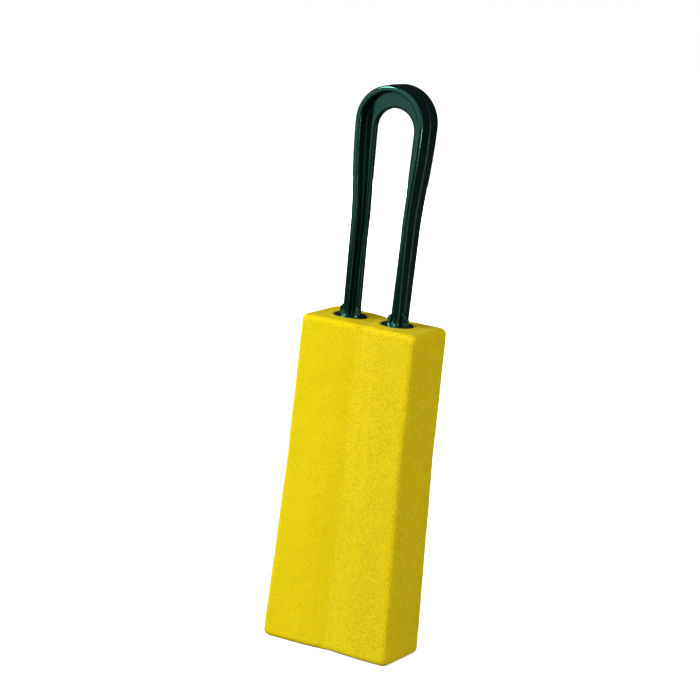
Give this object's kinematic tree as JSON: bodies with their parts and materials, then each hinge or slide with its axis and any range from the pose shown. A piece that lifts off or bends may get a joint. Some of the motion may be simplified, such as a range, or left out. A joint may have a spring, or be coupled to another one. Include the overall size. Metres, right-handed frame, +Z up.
{
  "type": "foam sponge brush",
  "caption": "Tall lobed foam sponge head on the barbed prongs of a moulded loop handle, with a finger hole for gripping or hanging and round flanges that rest on the foam.",
  "frame": {"origin": "centre of the foam head's flat bottom face, on the surface that the brush stands on", "axes": "+Z up along the head to the top of the loop, +X along the head's width, -Y towards the front face"},
  "size_m": [0.0678, 0.034, 0.27],
  "materials": {
    "handle_plastic": "gloss",
    "foam": "matte",
    "adhesive": "satin"
  },
  "bodies": {
    "foam_head": {"foam_left": "foam", "foam_right": "foam", "bond_film": "adhesive"},
    "handle": {"loop_handle": "handle_plastic"}
  },
  "joints": [
    {"name": "handle_pull", "type": "slide", "parent": "foam_head", "child": "handle", "axis": [0, 0, 1], "range_m": [0, 0.125]}
  ]
}
